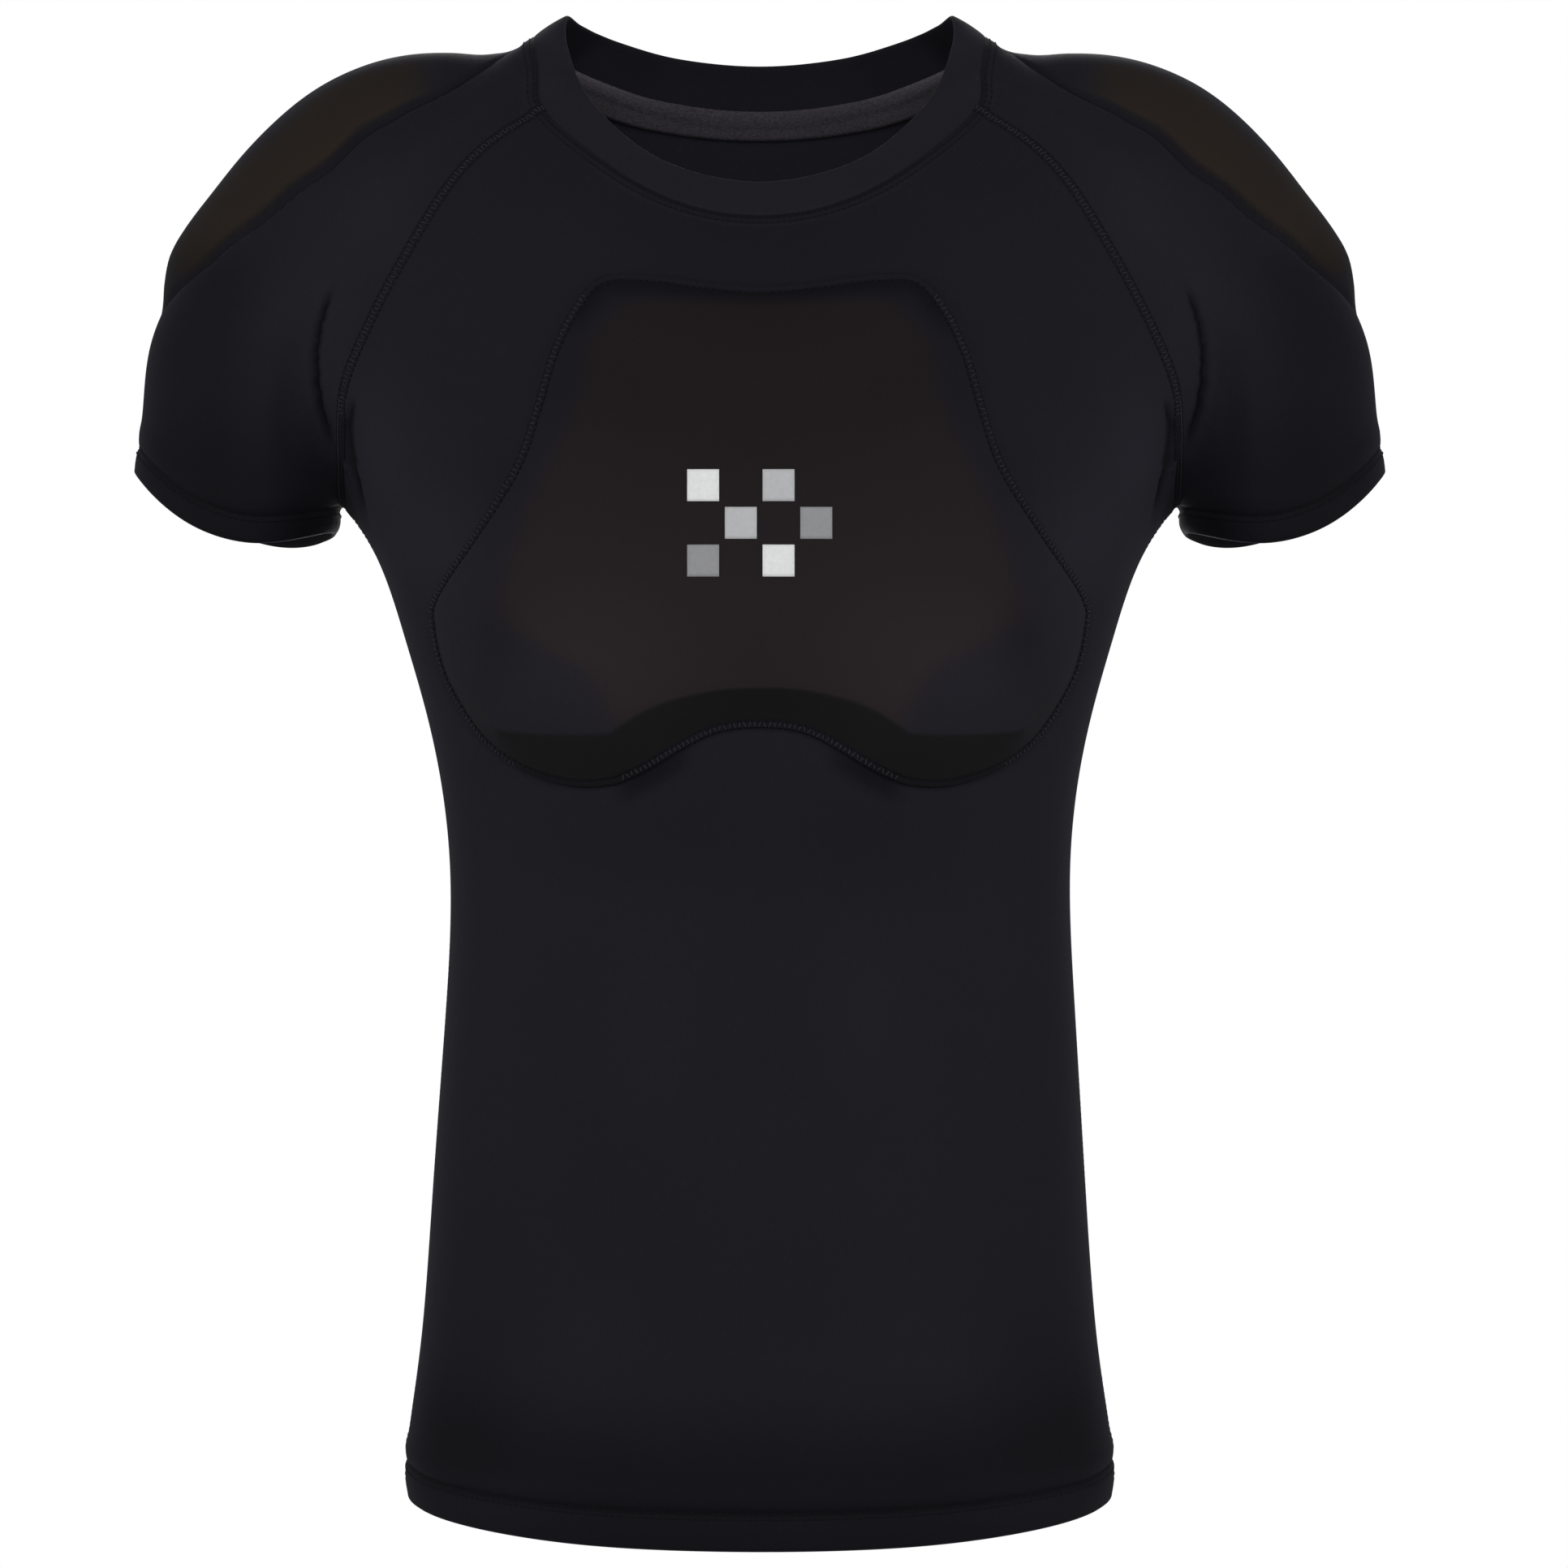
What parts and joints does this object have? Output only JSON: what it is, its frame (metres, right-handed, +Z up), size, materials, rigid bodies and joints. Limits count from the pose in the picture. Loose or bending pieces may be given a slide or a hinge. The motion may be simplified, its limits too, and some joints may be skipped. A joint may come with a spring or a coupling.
{
  "type": "padded compression shirt",
  "caption": "Short-sleeved raglan compression shirt in its worn, hollow shape, with a foam pad on the chest and foam pads under the shoulders.",
  "frame": {"origin": "midway between the shoulders, at the height where the cloth rests on them beside the neck", "axes": "+Z up along the wearer's body, -Y the front, +X the wearer's left"},
  "size_m": [0.554, 0.2373, 0.6629],
  "materials": {
    "knit": "smooth knit, faint sheen",
    "tape": "matt melange",
    "pad_cover": "smooth knit over foam",
    "foam": "matt"
  },
  "bodies": {
    "root": {"front_panel": "knit", "back_panel": "knit", "sleeve_left": "knit", "sleeve_right": "knit", "neckband": "knit", "neck_tape": "tape", "chest_pad": "pad_cover", "shoulder_pad_left": "foam", "shoulder_pad_right": "foam"}
  },
  "joints": []
}
